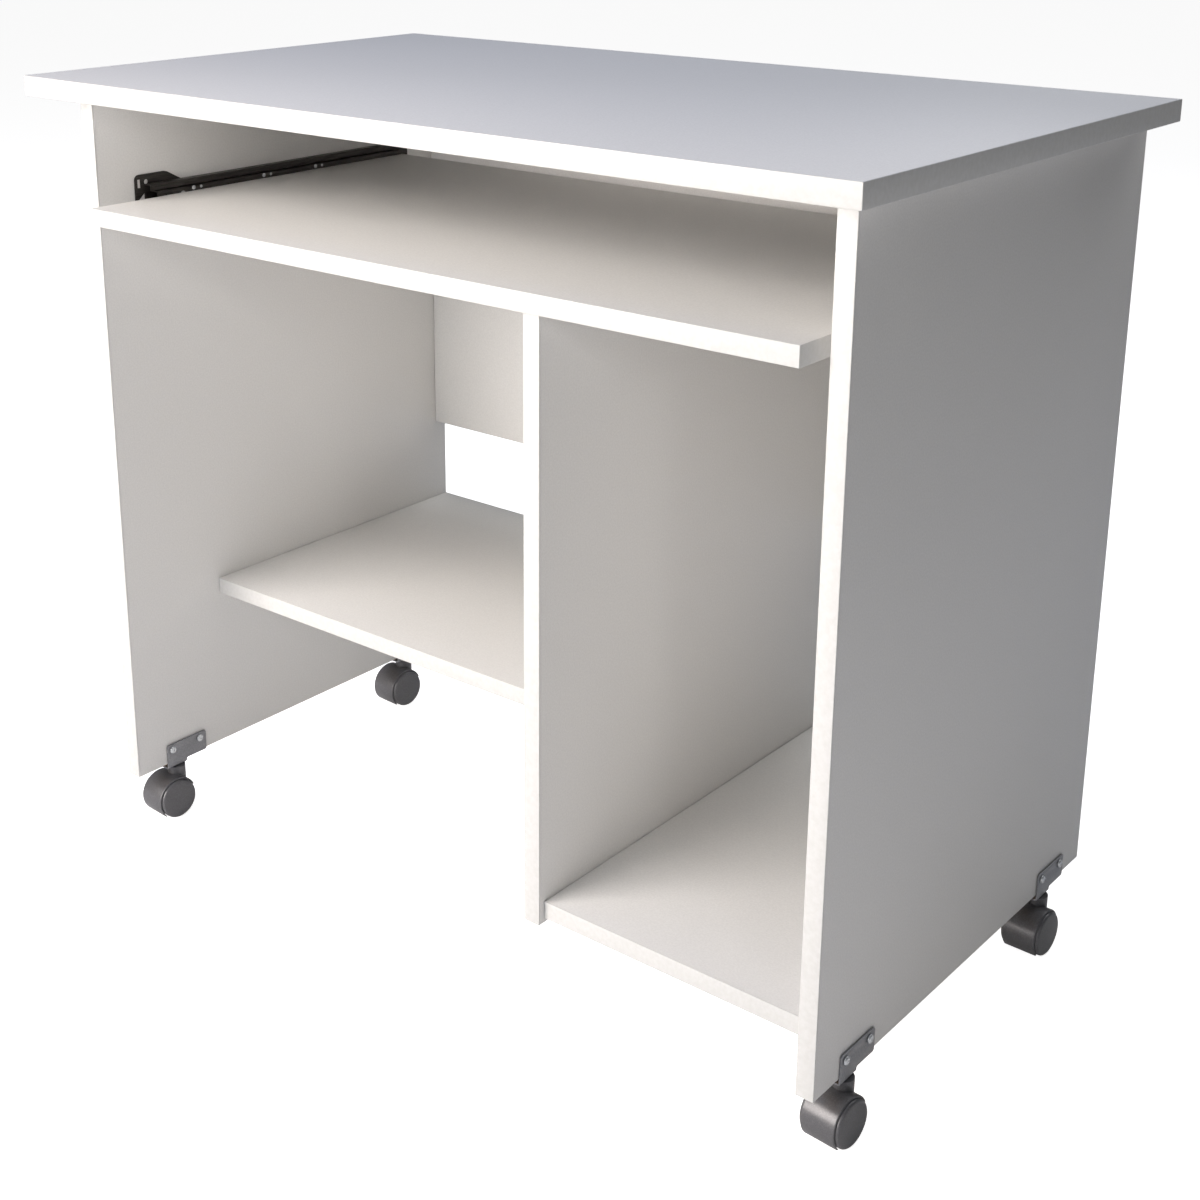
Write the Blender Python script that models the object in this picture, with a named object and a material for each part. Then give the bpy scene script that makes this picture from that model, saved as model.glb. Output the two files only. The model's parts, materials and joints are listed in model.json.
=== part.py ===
"""White melamine computer desk on four castors, with a keyboard shelf that pulls out on ball slides.

+Z is up, the user sits at -Y, and the origin is on the floor under the middle of the desk top.
"""

import math

import bmesh
import bpy
from mathutils import Matrix, Vector

MM = 0.001
GAP = 0.3 * MM  # glue line or contact gap between two touching pieces

# Desk, over all
TOP_WIDTH = 850 * MM
TOP_DEPTH = 500 * MM
HEIGHT = 750 * MM
TOP_THICK = 18 * MM
BOARD = 16 * MM
BAND = 0.8 * MM  # thickness of the edge banding

# Carcass
SIDES_WIDTH = 800 * MM  # across the outer faces of the side panels
FRONT_OVERHANG = 40 * MM
REAR_OVERHANG = 4 * MM
SIDE_BOTTOM = 55 * MM
PARTITION_LEFT = 120 * MM
PARTITION_BOTTOM = 97.5 * MM
PARTITION_TOP = 614 * MM
LOW_SHELF_TOP = 234 * MM
LOW_SHELF_FRONT = -95 * MM
BOTTOM_BOARD_TOP = 118 * MM
BOTTOM_BOARD_SETBACK = 6 * MM
TRAVERSE_BOTTOM = 323 * MM

TOP_UNDER = HEIGHT - TOP_THICK
FRONT = -TOP_DEPTH / 2 + FRONT_OVERHANG
REAR = TOP_DEPTH / 2 - REAR_OVERHANG
OUTER = SIDES_WIDTH / 2
INNER = OUTER - BOARD

# Keyboard shelf, drawn as it stands at rest: a little way out
SHELF_TOP = 634 * MM
SHELF_FRONT = FRONT - 17 * MM
SHELF_DEPTH = 400 * MM
SLIDE_SPACE = 12.7 * MM  # between a side panel and the end of the shelf
SHELF_HALF = INNER - SLIDE_SPACE

# Ball slides. u is measured from the side panel towards the shelf, w up from the slide's middle.
SLIDE_MID = 632 * MM
SLIDE_STEEL = 1.2 * MM
OUTER_FRONT = -158 * MM
OUTER_LENGTH = 350 * MM
OUTER_HALF = 13.5 * MM
OUTER_U = 10.5 * MM
OUTER_LIP = 5.5 * MM
INNER_FRONT = -152 * MM
INNER_LENGTH = 320 * MM
INNER_HALF = 7 * MM
INNER_LEG_U = 3.6 * MM
INNER_WEB_U = 12.4 * MM
CAGE_FRONT = -31 * MM
CAGE_LENGTH = 74 * MM
CAGE_STEEL = 0.8 * MM
CAGE_WEB_U = 2.2 * MM
CAGE_FLANGE_U = 7.2 * MM
BALL_R = 2.55 * MM
BALL_U = 5.4 * MM
BALLS_PER_ROW = 3

# Tab at the front of each fixed rail
TAB_FRONT = -169 * MM
TAB_TOP_END = -132.5 * MM
TAB_REAR = -114.5 * MM
TAB_TOP_W = 22.5 * MM
TAB_FOOT_W = -1 * MM
TAB_FOOT_WIDTH = 3.5 * MM
TAB_NOTCH_W = 5.5 * MM
TAB_CORNER = 3 * MM
TAB_HOLE, TAB_HOLE_R = (13 * MM, 15.2 * MM), 2.5 * MM  # along from the tab's front, and up
TAB_SLOT, TAB_SLOT_SIZE = (4.8 * MM, 14.2 * MM), (3.6 * MM, 8 * MM)

# Screws
SHANK_R = 1.75 * MM
PILOT_R = 1.85 * MM
SHANK_LENGTH = 12 * MM
FLAT_HEAD_R = 3.4 * MM
PAN_HEAD_R = 3.8 * MM
PAN_HEAD_HIGH = 2.3 * MM

# Castors: wheels of 40 mm, 10.5 mm behind the pin
WHEEL_R = 20 * MM
WHEEL_IN = 5.7 * MM
WHEEL_OUT = 18.8 * MM
TRAIL = 10.5 * MM
AXLE_R = 2.5 * MM
AXLE_HALF = 13.5 * MM
HOOD_R = 22 * MM
HOOD_INSIDE_R = 20.7 * MM
HOOD_HALF = 15.6 * MM
WEB_HALF = 5.2 * MM
HOOD_FROM = math.radians(25)  # round the axle, from the side of the pin over the top
HOOD_TO = math.radians(225)
TOWER_R = 9 * MM
TOWER_TOP = 49.7 * MM
PIN_R = 3 * MM
PIN_BOTTOM = 29 * MM
PIN_HEAD_R = 4 * MM
PIN_HEAD_HIGH = 1.8 * MM
RUNNING_FIT = 0.05 * MM
PIN_TO_FACE = 4 * MM  # from the pin's axis to the panel face that carries the bracket

# Brackets. Heights from the floor, lengths from the pin's axis.
STEEL = 1.6 * MM
FLANGE_UNDER = 50 * MM
STRIP_BOTTOM = 54.6 * MM
PLATE_TOP = 76 * MM
PLATE_FROM = -14.5 * MM
DROP_TO = 9.5 * MM
STRIP_TO = 35.5 * MM
PLATE_CORNER = 2 * MM
BRACKET_SCREWS = (-8 * MM, 27 * MM)
BRACKET_SCREW_Z = 70 * MM

# name, x of the panel face, y of the pin, swivel at rest in degrees
CASTORS = (
    ("front_left", -INNER, -160 * MM, -4),
    ("front_right", OUTER, -160 * MM, -4),
    ("rear_left", -INNER, 174 * MM, -4),
    ("rear_right", OUTER, 174 * MM, -2),
)
SIDES = (("left", -1), ("right", 1))


def material(name, colour, roughness, metallic=0.0):
    made = bpy.data.materials.new(name)
    made.use_nodes = True
    shader = made.node_tree.nodes["Principled BSDF"]
    shader.inputs["Base Color"].default_value = (*colour, 1)
    shader.inputs["Roughness"].default_value = roughness
    shader.inputs["Metallic"].default_value = metallic
    return made


def mesh_from(bm, name):
    bmesh.ops.recalc_face_normals(bm, faces=bm.faces)
    mesh = bpy.data.meshes.new(name)
    bm.to_mesh(mesh)
    bm.free()
    return mesh


def add_object(name, mesh, look=None, parent=None, matrix=None):
    obj = bpy.data.objects.new(name, mesh)
    bpy.context.scene.collection.objects.link(obj)
    if look:
        mesh.materials.clear()
        mesh.materials.append(look)
    if parent:
        obj.parent = parent
    if matrix:
        obj.matrix_local = matrix
    return obj


def box(name, low, high, look, parent=None):
    """A board or strip between two corners, its origin at its middle."""
    low, high = Vector(low), Vector(high)
    bm = bmesh.new()
    bmesh.ops.create_cube(bm, size=1)
    bmesh.ops.scale(bm, vec=high - low, verts=bm.verts)
    place = Matrix.Translation((low + high) / 2)
    return add_object(name, mesh_from(bm, name), look, parent, place)


def extrude_outline(points, axis, start, end):
    """A solid with this outline, drawn out along axis (0 = X, 1 = Y) from start to end."""
    bm = bmesh.new()
    corners = []
    for a, b in points:
        corners.append(bm.verts.new((start, a, b) if axis == 0 else (a, start, b)))
    face = bm.faces.new(corners)
    grown = bmesh.ops.extrude_face_region(bm, geom=[face])["geom"]
    moved = [item for item in grown if isinstance(item, bmesh.types.BMVert)]
    step = Vector((end - start, 0, 0)) if axis == 0 else Vector((0, end - start, 0))
    bmesh.ops.translate(bm, vec=step, verts=moved)
    return bm


def turned(profile, segments, axis="X"):
    """A solid of revolution about X or Z. profile is (along, radius), and both its ends are on the axis."""
    bm = bmesh.new()
    points = []
    for along, radius in profile:
        points.append(bm.verts.new((along, 0, radius) if axis == "X" else (radius, 0, along)))
    edges = [bm.edges.new(pair) for pair in zip(points, points[1:])]
    bmesh.ops.spin(
        bm,
        geom=points + edges,
        cent=(0, 0, 0),
        axis=(1, 0, 0) if axis == "X" else (0, 0, 1),
        angle=math.tau,
        steps=segments,
        use_merge=True,
    )
    bmesh.ops.remove_doubles(bm, verts=bm.verts, dist=1e-6)
    return bm


def smooth_round(mesh, angle=35):
    mesh.shade_smooth()
    mesh.set_sharp_from_angle(angle=math.radians(angle))


def add_cylinder(bm, centre, radius, length, axis, segments=16):
    """Adds a closed cylinder, centred on a point, to a mesh being built."""
    turn = {"X": Matrix.Rotation(math.pi / 2, 4, "Y"), "Z": Matrix.Identity(4)}[axis]
    bmesh.ops.create_cone(
        bm,
        cap_ends=True,
        segments=segments,
        radius1=radius,
        radius2=radius,
        depth=length,
        matrix=Matrix.Translation(centre) @ turn,
    )


def combine(obj, bm, name, operation):
    """Adds the solids in bm to the object, or cuts them from it, with a Boolean modifier."""
    tool = add_object(name, mesh_from(bm, name), parent=obj.parent, matrix=Matrix.Identity(4))
    tool.hide_render = True
    tool.display_type = "WIRE"
    modifier = obj.modifiers.new(name, "BOOLEAN")
    modifier.operation = operation
    modifier.solver = "EXACT"
    modifier.object = tool


def finished_mesh(obj, name):
    """The object's mesh with its modifiers applied. The object and its tools are then removed."""
    bpy.context.view_layer.update()
    evaluated = obj.evaluated_get(bpy.context.evaluated_depsgraph_get())
    mesh = bpy.data.meshes.new_from_object(evaluated)
    mesh.name = name
    tools = [modifier.object for modifier in obj.modifiers]
    for helper in [*tools, obj]:
        bpy.data.objects.remove(helper)
    return mesh


def rounded(corners, radius, steps=3):
    """The outline through corners, with a small arc in place of each corner marked True."""
    outline = []
    for index, (a, b, is_round) in enumerate(corners):
        here = Vector((a, b))
        if not is_round:
            outline.append((a, b))
            continue
        before = Vector(corners[index - 1][:2])
        after = Vector(corners[(index + 1) % len(corners)][:2])
        start = here + (before - here).normalized() * radius
        end = here + (after - here).normalized() * radius
        for step in range(steps + 1):
            t = step / steps
            point = start * (1 - t) ** 2 + here * 2 * t * (1 - t) + end * t**2
            outline.append(tuple(point))
    return outline


# Boards and edge bands


def banded_board(name, low, high, board_look, band_look, parent=None):
    """A board whose front edge carries a glued band. low and high are the corners of the two together."""
    (x0, y0, z0), (x1, y1, z1) = low, high
    board = box(name, (x0, y0 + BAND + GAP, z0), high, board_look, parent)
    box(name + "_band", low, (x1, y0 + BAND, z1), band_look, parent)
    return board


def drill(board, name, holes):
    """Pilot holes along X. Each is (x of the face, direction into the board, y, z)."""
    bm = bmesh.new()
    depth = SHANK_LENGTH + 0.5 * MM
    for face, into, y, z in holes:
        mouth = 1 * MM
        centre = Vector((face + into * (depth - mouth) / 2, y, z)) - board.location
        add_cylinder(bm, centre, PILOT_R, depth + mouth, "X", 12)
    combine(board, bm, name, "DIFFERENCE")
    board.modifiers[-1].object.location = board.location


def desk_top(looks):
    edge = BAND + GAP
    half_x, half_y = TOP_WIDTH / 2, TOP_DEPTH / 2
    low = (-half_x + edge, -half_y + edge, TOP_UNDER)
    box("desk_top", low, (half_x - edge, half_y - edge, HEIGHT), looks["board"])
    bm = bmesh.new()
    for z in (TOP_UNDER, HEIGHT):
        for inset in (0, BAND):
            x, y = half_x - inset, half_y - inset
            ring = [bm.verts.new((a, b, z)) for a, b in ((-x, -y), (x, -y), (x, y), (-x, y))]
            for pair in zip(ring, ring[1:] + ring[:1]):
                bm.edges.new(pair)
    bm.verts.ensure_lookup_table()
    loops = [[bm.verts[4 * ring + k] for k in range(4)] for ring in range(4)]
    for first, second in ((0, 1), (1, 3), (3, 2), (2, 0)):
        for k in range(4):
            after = (k + 1) % 4
            a, b = loops[first], loops[second]
            bm.faces.new((a[k], a[after], b[after], b[k]))
    add_object("desk_top_band", mesh_from(bm, "desk_top_band"), looks["band"])


def side_panels(looks):
    high_z = TOP_UNDER - GAP
    for side, sign in SIDES:
        low_x, high_x = sorted((sign * INNER, sign * OUTER))
        low = (low_x, FRONT, SIDE_BOTTOM)
        panel = banded_board(
            side + "_side", low, (high_x, REAR, high_z), looks["board"], looks["band"]
        )
        holes = []
        for name, face, pin_y, _ in CASTORS:
            if name.endswith(side):
                holes += [(face, -1, pin_y + along, BRACKET_SCREW_Z) for along in BRACKET_SCREWS]
        holes += [(sign * INNER, sign, y, SLIDE_MID) for y in rail_screw_places()]
        drill(panel, side + "_side_holes", holes)


def inner_boards(looks):
    board, band = looks["board"], looks["band"]
    left, right = PARTITION_LEFT, PARTITION_LEFT + BOARD
    behind = REAR - BOARD - GAP
    low = (left, FRONT, PARTITION_BOTTOM)
    banded_board("partition", low, (right, behind, PARTITION_TOP), board, band)
    low = (-INNER + GAP, LOW_SHELF_FRONT, LOW_SHELF_TOP - BOARD)
    high = (left - GAP, REAR, LOW_SHELF_TOP)
    banded_board("low_shelf", low, high, board, band)
    low = (right + GAP, FRONT + BOTTOM_BOARD_SETBACK, BOTTOM_BOARD_TOP - BOARD)
    high = (INNER - GAP, REAR, BOTTOM_BOARD_TOP)
    banded_board("bottom_board", low, high, board, band)
    low = (-INNER + GAP, REAR - BOARD, TRAVERSE_BOTTOM)
    box("back_traverse", low, (INNER - GAP, REAR, TOP_UNDER - GAP), board)


def keyboard_shelf(looks, drawer):
    low = (-SHELF_HALF, SHELF_FRONT, SHELF_TOP - BOARD)
    high = (SHELF_HALF, SHELF_FRONT + SHELF_DEPTH, SHELF_TOP)
    shelf = banded_board("keyboard_shelf", low, high, looks["board"], looks["band"], drawer)
    holes = [(sign * SHELF_HALF, -sign, shelf_screw_y(), SLIDE_MID) for _, sign in SIDES]
    drill(shelf, "keyboard_shelf_holes", holes)


# Ball slides


def rail_screw_places():
    return OUTER_FRONT + 25 * MM, OUTER_FRONT + OUTER_LENGTH - 30 * MM


def shelf_screw_y():
    return INNER_FRONT + 30 * MM


def slide_outline(sign, points):
    """Turns (u, w) into world x and z on one side of the desk."""
    return [(sign * (INNER - u), SLIDE_MID + w) for u, w in points]


def fixed_rail(side, sign, look):
    """A C of folded steel with turned-in lips, and a flat tab that stands up at its front."""
    u0, u1, h, t = GAP, OUTER_U, OUTER_HALF, SLIDE_STEEL
    upper = [(u0 + t, h - t), (u1 - t, h - t), (u1 - t, h - OUTER_LIP)]
    upper += [(u1, h - OUTER_LIP), (u1, h), (u0, h)]
    lower = [(u, -w) for u, w in reversed(upper)]
    bm = extrude_outline(
        slide_outline(sign, lower + upper), 1, OUTER_FRONT, OUTER_FRONT + OUTER_LENGTH
    )
    name = f"fixed_rail_{side}"
    rail = add_object(name, mesh_from(bm, name), look)
    foot = TAB_FRONT + TAB_FOOT_WIDTH
    corners = [
        (TAB_FRONT, TAB_FOOT_W, False),
        (foot, TAB_FOOT_W, False),
        (OUTER_FRONT, TAB_NOTCH_W, False),
        (TAB_REAR - 6 * MM, TAB_NOTCH_W, False),
        (TAB_REAR, OUTER_HALF - t / 2, False),
        (TAB_TOP_END, TAB_TOP_W, False),
        (TAB_FRONT, TAB_TOP_W, True),
    ]
    outline = [(y, SLIDE_MID + w) for y, w in rounded(corners, TAB_CORNER)]
    # The tab is a hair thinner than the web that it grows out of, so that no faces coincide.
    near, far = sorted(sign * (INNER - u0 - side_u) for side_u in (0.1 * MM, t - 0.1 * MM))
    combine(rail, extrude_outline(outline, 0, near, far), name + "_tab", "UNION")
    tools = bmesh.new()
    web = sign * (INNER - u0 - t / 2)
    for y in rail_screw_places():
        add_cylinder(tools, (web, y, SLIDE_MID), FLAT_HEAD_R + 0.2 * MM, 3 * t, "X")
    middle = (web, TAB_FRONT + TAB_HOLE[0], SLIDE_MID + TAB_HOLE[1])
    add_cylinder(tools, middle, TAB_HOLE_R, 3 * t, "X", 16)
    slot = bmesh.ops.create_cube(tools, size=1)["verts"]
    bmesh.ops.scale(tools, vec=(3 * t, *TAB_SLOT_SIZE), verts=slot)
    middle = (web, TAB_FRONT + TAB_SLOT[0], SLIDE_MID + TAB_SLOT[1])
    bmesh.ops.translate(tools, vec=middle, verts=slot)
    combine(rail, tools, name + "_holes", "DIFFERENCE")


def moving_rail(side, sign, look, drawer):
    """A C that opens towards the panel and rides inside the fixed rail's lips."""
    leg, web, h, t = INNER_LEG_U, INNER_WEB_U, INNER_HALF, SLIDE_STEEL
    upper = [(web - t, h - t), (leg, h - t), (leg, h), (web, h)]
    lower = [(u, -w) for u, w in reversed(upper)]
    bm = extrude_outline(
        slide_outline(sign, lower + upper), 1, INNER_FRONT, INNER_FRONT + INNER_LENGTH
    )
    name = f"moving_rail_{side}"
    rail = add_object(name, mesh_from(bm, name), look, drawer)
    tools = bmesh.new()
    centre = (sign * (INNER - web + t / 2), shelf_screw_y(), SLIDE_MID)
    add_cylinder(tools, centre, FLAT_HEAD_R + 0.2 * MM, 3 * t, "X")
    combine(rail, tools, name + "_hole", "DIFFERENCE")


def ball_cage(side, sign, look):
    """A folded strip that holds two rows of balls between the rails."""
    web, flange, t = CAGE_WEB_U, CAGE_FLANGE_U, CAGE_STEEL
    race = (INNER_HALF + OUTER_HALF - SLIDE_STEEL) / 2
    h = race + t / 2
    upper = [(web + t, h - t), (flange, h - t), (flange, h), (web, h)]
    lower = [(u, -w) for u, w in reversed(upper)]
    bm = extrude_outline(
        slide_outline(sign, lower + upper), 1, CAGE_FRONT, CAGE_FRONT + CAGE_LENGTH
    )
    name = f"ball_cage_{side}"
    cage = add_object(name, mesh_from(bm, name), look)
    balls = bmesh.new()
    pitch = CAGE_LENGTH / BALLS_PER_ROW
    for row in (-1, 1):
        for index in range(BALLS_PER_ROW):
            y = CAGE_FRONT + pitch * (index + 0.5)
            centre = (sign * (INNER - BALL_U), y, SLIDE_MID + row * race)
            place = Matrix.Translation(centre)
            bmesh.ops.create_icosphere(balls, subdivisions=2, radius=BALL_R, matrix=place)
    combine(cage, balls, name + "_balls", "UNION")


def screw_mesh(name, head):
    """A screw along X with its tip at -X and the underside of its head at x = 0."""
    tip = [(-SHANK_LENGTH, 0), (-SHANK_LENGTH + 2 * MM, SHANK_R), (0, SHANK_R)]
    return mesh_from(turned([*tip, *head], 14), name)


def slides(looks, drawer):
    flat = [(0, FLAT_HEAD_R), (0.85 * MM, FLAT_HEAD_R), (0.85 * MM, 0)]
    mesh = screw_mesh("flat_screw", flat)
    mesh.materials.append(looks["zinc"])
    smooth_round(mesh)
    for side, sign in SIDES:
        fixed_rail(side, sign, looks["rail"])
        moving_rail(side, sign, looks["rail"], drawer)
        ball_cage(side, sign, looks["cage"])
        outward = Matrix.Rotation(math.pi if sign > 0 else 0, 4, "Z")
        for index, y in enumerate(rail_screw_places(), 1):
            x = sign * (INNER - GAP - 0.25 * MM)
            place = Matrix.Translation((x, y, SLIDE_MID)) @ outward
            add_object(f"rail_screw_{side}_{index}", mesh, matrix=place)
        inward = Matrix.Rotation(0 if sign > 0 else math.pi, 4, "Z")
        x = sign * (INNER - INNER_WEB_U + 0.2 * MM)
        place = Matrix.Translation((x, shelf_screw_y(), SLIDE_MID)) @ inward
        add_object(f"shelf_screw_{side}", mesh, parent=drawer, matrix=place)


# Castors and their brackets


def bracket_mesh(look):
    """Pin axis at x = y = 0 and heights from the floor: an upright plate with a flange under the panel."""
    face = PIN_TO_FACE + GAP
    corners = [
        (PLATE_FROM, FLANGE_UNDER, False),
        (DROP_TO, FLANGE_UNDER, False),
        (DROP_TO, STRIP_BOTTOM, False),
        (STRIP_TO, STRIP_BOTTOM, True),
        (STRIP_TO, PLATE_TOP, True),
        (PLATE_FROM, PLATE_TOP, True),
    ]
    outline = rounded(corners, PLATE_CORNER)
    bm = extrude_outline(outline, 0, face, face + STEEL)
    blank = add_object("bracket_blank", mesh_from(bm, "bracket_blank"))
    reach = 9 * MM
    inset = 0.1 * MM
    flange = [(-reach, FLANGE_UNDER + inset), (face + STEEL - inset, FLANGE_UNDER + inset)]
    flange += [(face + STEEL - inset, FLANGE_UNDER + STEEL), (-reach, FLANGE_UNDER + STEEL)]
    bm = extrude_outline(flange, 1, PLATE_FROM + inset, DROP_TO - inset)
    combine(blank, bm, "bracket_flange", "UNION")
    tools = bmesh.new()
    middle = (0, 0, FLANGE_UNDER + STEEL / 2)
    add_cylinder(tools, middle, PIN_R + 0.2 * MM, 3 * STEEL, "Z")
    for along in BRACKET_SCREWS:
        centre = (face + STEEL / 2, along, BRACKET_SCREW_Z)
        add_cylinder(tools, centre, SHANK_R + 0.3 * MM, 3 * STEEL, "X", 14)
    combine(blank, tools, "bracket_holes", "DIFFERENCE")
    mesh = finished_mesh(blank, "bracket")
    mesh.materials.append(look)
    return mesh


def housing_mesh(look):
    """Castor body: a hood over both wheels, a web between them and the tower that turns on the pin."""
    hood = []
    steps = 20
    for step in range(steps + 1):
        angle = HOOD_FROM + (HOOD_TO - HOOD_FROM) * step / steps
        hood.append((-TRAIL + HOOD_R * math.cos(angle), WHEEL_R + HOOD_R * math.sin(angle)))
    bm = extrude_outline(hood, 0, -HOOD_HALF, HOOD_HALF)
    blank = add_object("housing_blank", mesh_from(bm, "housing_blank"))
    axle = (0, -TRAIL, WHEEL_R)
    tower = bmesh.new()
    low = 31 * MM
    middle = (0, 0, (TOWER_TOP + low) / 2)
    add_cylinder(tower, middle, TOWER_R, TOWER_TOP - low, "Z", 24)
    combine(blank, tower, "housing_tower", "UNION")
    boss = bmesh.new()
    add_cylinder(boss, axle, 6.5 * MM, 2 * (WEB_HALF - 0.1 * MM), "X", 20)
    combine(blank, boss, "housing_boss", "UNION")
    wheel_room = bmesh.new()
    for sign in (-1, 1):
        length = 20 * MM
        centre = (sign * (WEB_HALF + length / 2), -TRAIL, WHEEL_R)
        add_cylinder(wheel_room, centre, HOOD_INSIDE_R, length, "X", 40)
    combine(blank, wheel_room, "housing_wheel_room", "DIFFERENCE")
    bores = bmesh.new()
    add_cylinder(bores, axle, AXLE_R + RUNNING_FIT, 4 * WEB_HALF, "X", 24)
    depth = 22 * MM
    middle = (0, 0, PIN_BOTTOM - 0.5 * MM + depth / 2)
    add_cylinder(bores, middle, PIN_R + RUNNING_FIT, depth, "Z", 24)
    combine(blank, bores, "housing_bores", "DIFFERENCE")
    mesh = finished_mesh(blank, "castor_housing")
    mesh.materials.append(look)
    smooth_round(mesh)
    return mesh


def wheel_mesh(look):
    """Its bore is blind and its outer face is a shallow dome. It is turned about X."""
    bore, hole_end = AXLE_R + RUNNING_FIT, AXLE_HALF + 0.4 * MM
    r, out = WHEEL_R, WHEEL_OUT
    profile = [
        (hole_end, 0),
        (hole_end, bore),
        (WHEEL_IN, bore),
        (WHEEL_IN, r - 1 * MM),
        (WHEEL_IN + 1 * MM, r),
        (out - 2.2 * MM, r),
        (out - 1.0 * MM, r - 0.6 * MM),
        (out - 0.3 * MM, r - 1.9 * MM),
        (out, r - 6 * MM),
        (out + 0.2 * MM, 0),
    ]
    mesh = mesh_from(turned(profile, 24), "castor_wheel")
    mesh.materials.append(look)
    smooth_round(mesh)
    return mesh


def pin_mesh(look):
    head_low = FLANGE_UNDER + STEEL + GAP
    profile = [
        (PIN_BOTTOM, 0),
        (PIN_BOTTOM, PIN_R),
        (head_low, PIN_R),
        (head_low, PIN_HEAD_R),
        (head_low + PIN_HEAD_HIGH, PIN_HEAD_R),
        (head_low + PIN_HEAD_HIGH, 0),
    ]
    mesh = mesh_from(turned(profile, 24, "Z"), "castor_pin")
    mesh.materials.append(look)
    smooth_round(mesh)
    return mesh


def axle_mesh(look):
    profile = [(-AXLE_HALF, 0), (-AXLE_HALF, AXLE_R), (AXLE_HALF, AXLE_R), (AXLE_HALF, 0)]
    mesh = mesh_from(turned(profile, 24), "castor_axle")
    mesh.materials.append(look)
    smooth_round(mesh)
    return mesh


def castors(looks):
    bracket, housing = bracket_mesh(looks["bracket"]), housing_mesh(looks["castor"])
    wheel, pin = wheel_mesh(looks["castor"]), pin_mesh(looks["zinc"])
    axle = axle_mesh(looks["zinc"])
    r, high = PAN_HEAD_R, PAN_HEAD_HIGH
    head = [(0, r), (0.35 * high, r), (0.7 * high, 0.85 * r), (0.95 * high, 0.5 * r), (high, 0)]
    screw = screw_mesh("pan_screw", head)
    screw.materials.append(looks["zinc"])
    smooth_round(screw)
    for name, face, pin_y, degrees in CASTORS:
        place = Matrix.Translation((face - PIN_TO_FACE, pin_y, 0))
        add_object(f"bracket_{name}", bracket, matrix=place)
        add_object(f"castor_pin_{name}", pin, matrix=place)
        for index, along in enumerate(BRACKET_SCREWS, 1):
            spot = (face + GAP + STEEL + GAP, pin_y + along, BRACKET_SCREW_Z)
            add_object(f"bracket_screw_{name}_{index}", screw, matrix=Matrix.Translation(spot))
        swivel = bpy.data.objects.new(f"swivel_{name}", None)
        bpy.context.scene.collection.objects.link(swivel)
        swivel.matrix_local = place @ Matrix.Rotation(math.radians(degrees), 4, "Z")
        add_object(f"castor_housing_{name}", housing, parent=swivel)
        hub = Matrix.Translation((0, -TRAIL, WHEEL_R))
        add_object(f"castor_axle_{name}", axle, parent=swivel, matrix=hub)
        for side, turn in (("outer", 0), ("inner", math.pi)):
            matrix = hub @ Matrix.Rotation(turn, 4, "Z")
            add_object(f"castor_wheel_{name}_{side}", wheel, parent=swivel, matrix=matrix)


def build():
    for obj in list(bpy.data.objects):
        bpy.data.objects.remove(obj)
    looks = {
        "board": material("white_melamine_board", (0.78, 0.78, 0.77), 0.45),
        "band": material("white_edge_band", (0.86, 0.86, 0.85), 0.4),
        "rail": material("black_slide_steel", (0.03, 0.03, 0.028), 0.4, 0.6),
        "cage": material("zinc_cage_steel", (0.55, 0.56, 0.58), 0.35, 0.9),
        "zinc": material("zinc_plated_steel", (0.6, 0.62, 0.66), 0.3, 1.0),
        "bracket": material("grey_bracket_steel", (0.12, 0.12, 0.13), 0.45, 0.5),
        "castor": material("grey_castor_plastic", (0.2, 0.2, 0.21), 0.38),
    }
    drawer = bpy.data.objects.new("drawer", None)
    bpy.context.scene.collection.objects.link(drawer)
    desk_top(looks)
    side_panels(looks)
    inner_boards(looks)
    keyboard_shelf(looks, drawer)
    slides(looks, drawer)
    castors(looks)


build()
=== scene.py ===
# %% [markdown]
# # A white computer desk on castors
#
# The desk is made of foil-faced chipboard, and its keyboard shelf pulls out on two ball slides. The CAD
# model already has every size and every moving part. This lesson gives each part the surface that the eye
# expects: eased edges on the boards, folds in the steel, and moulded curves on the castors.
#
# The frame is loaded first. It stands on the floor with +Z up, its front faces -Y, and all sizes are in
# metres, so that `MM` turns millimetres into them.

# %% Load the frame
import json
import math

import bmesh
import bpy
from mathutils import Matrix, Vector


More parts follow.
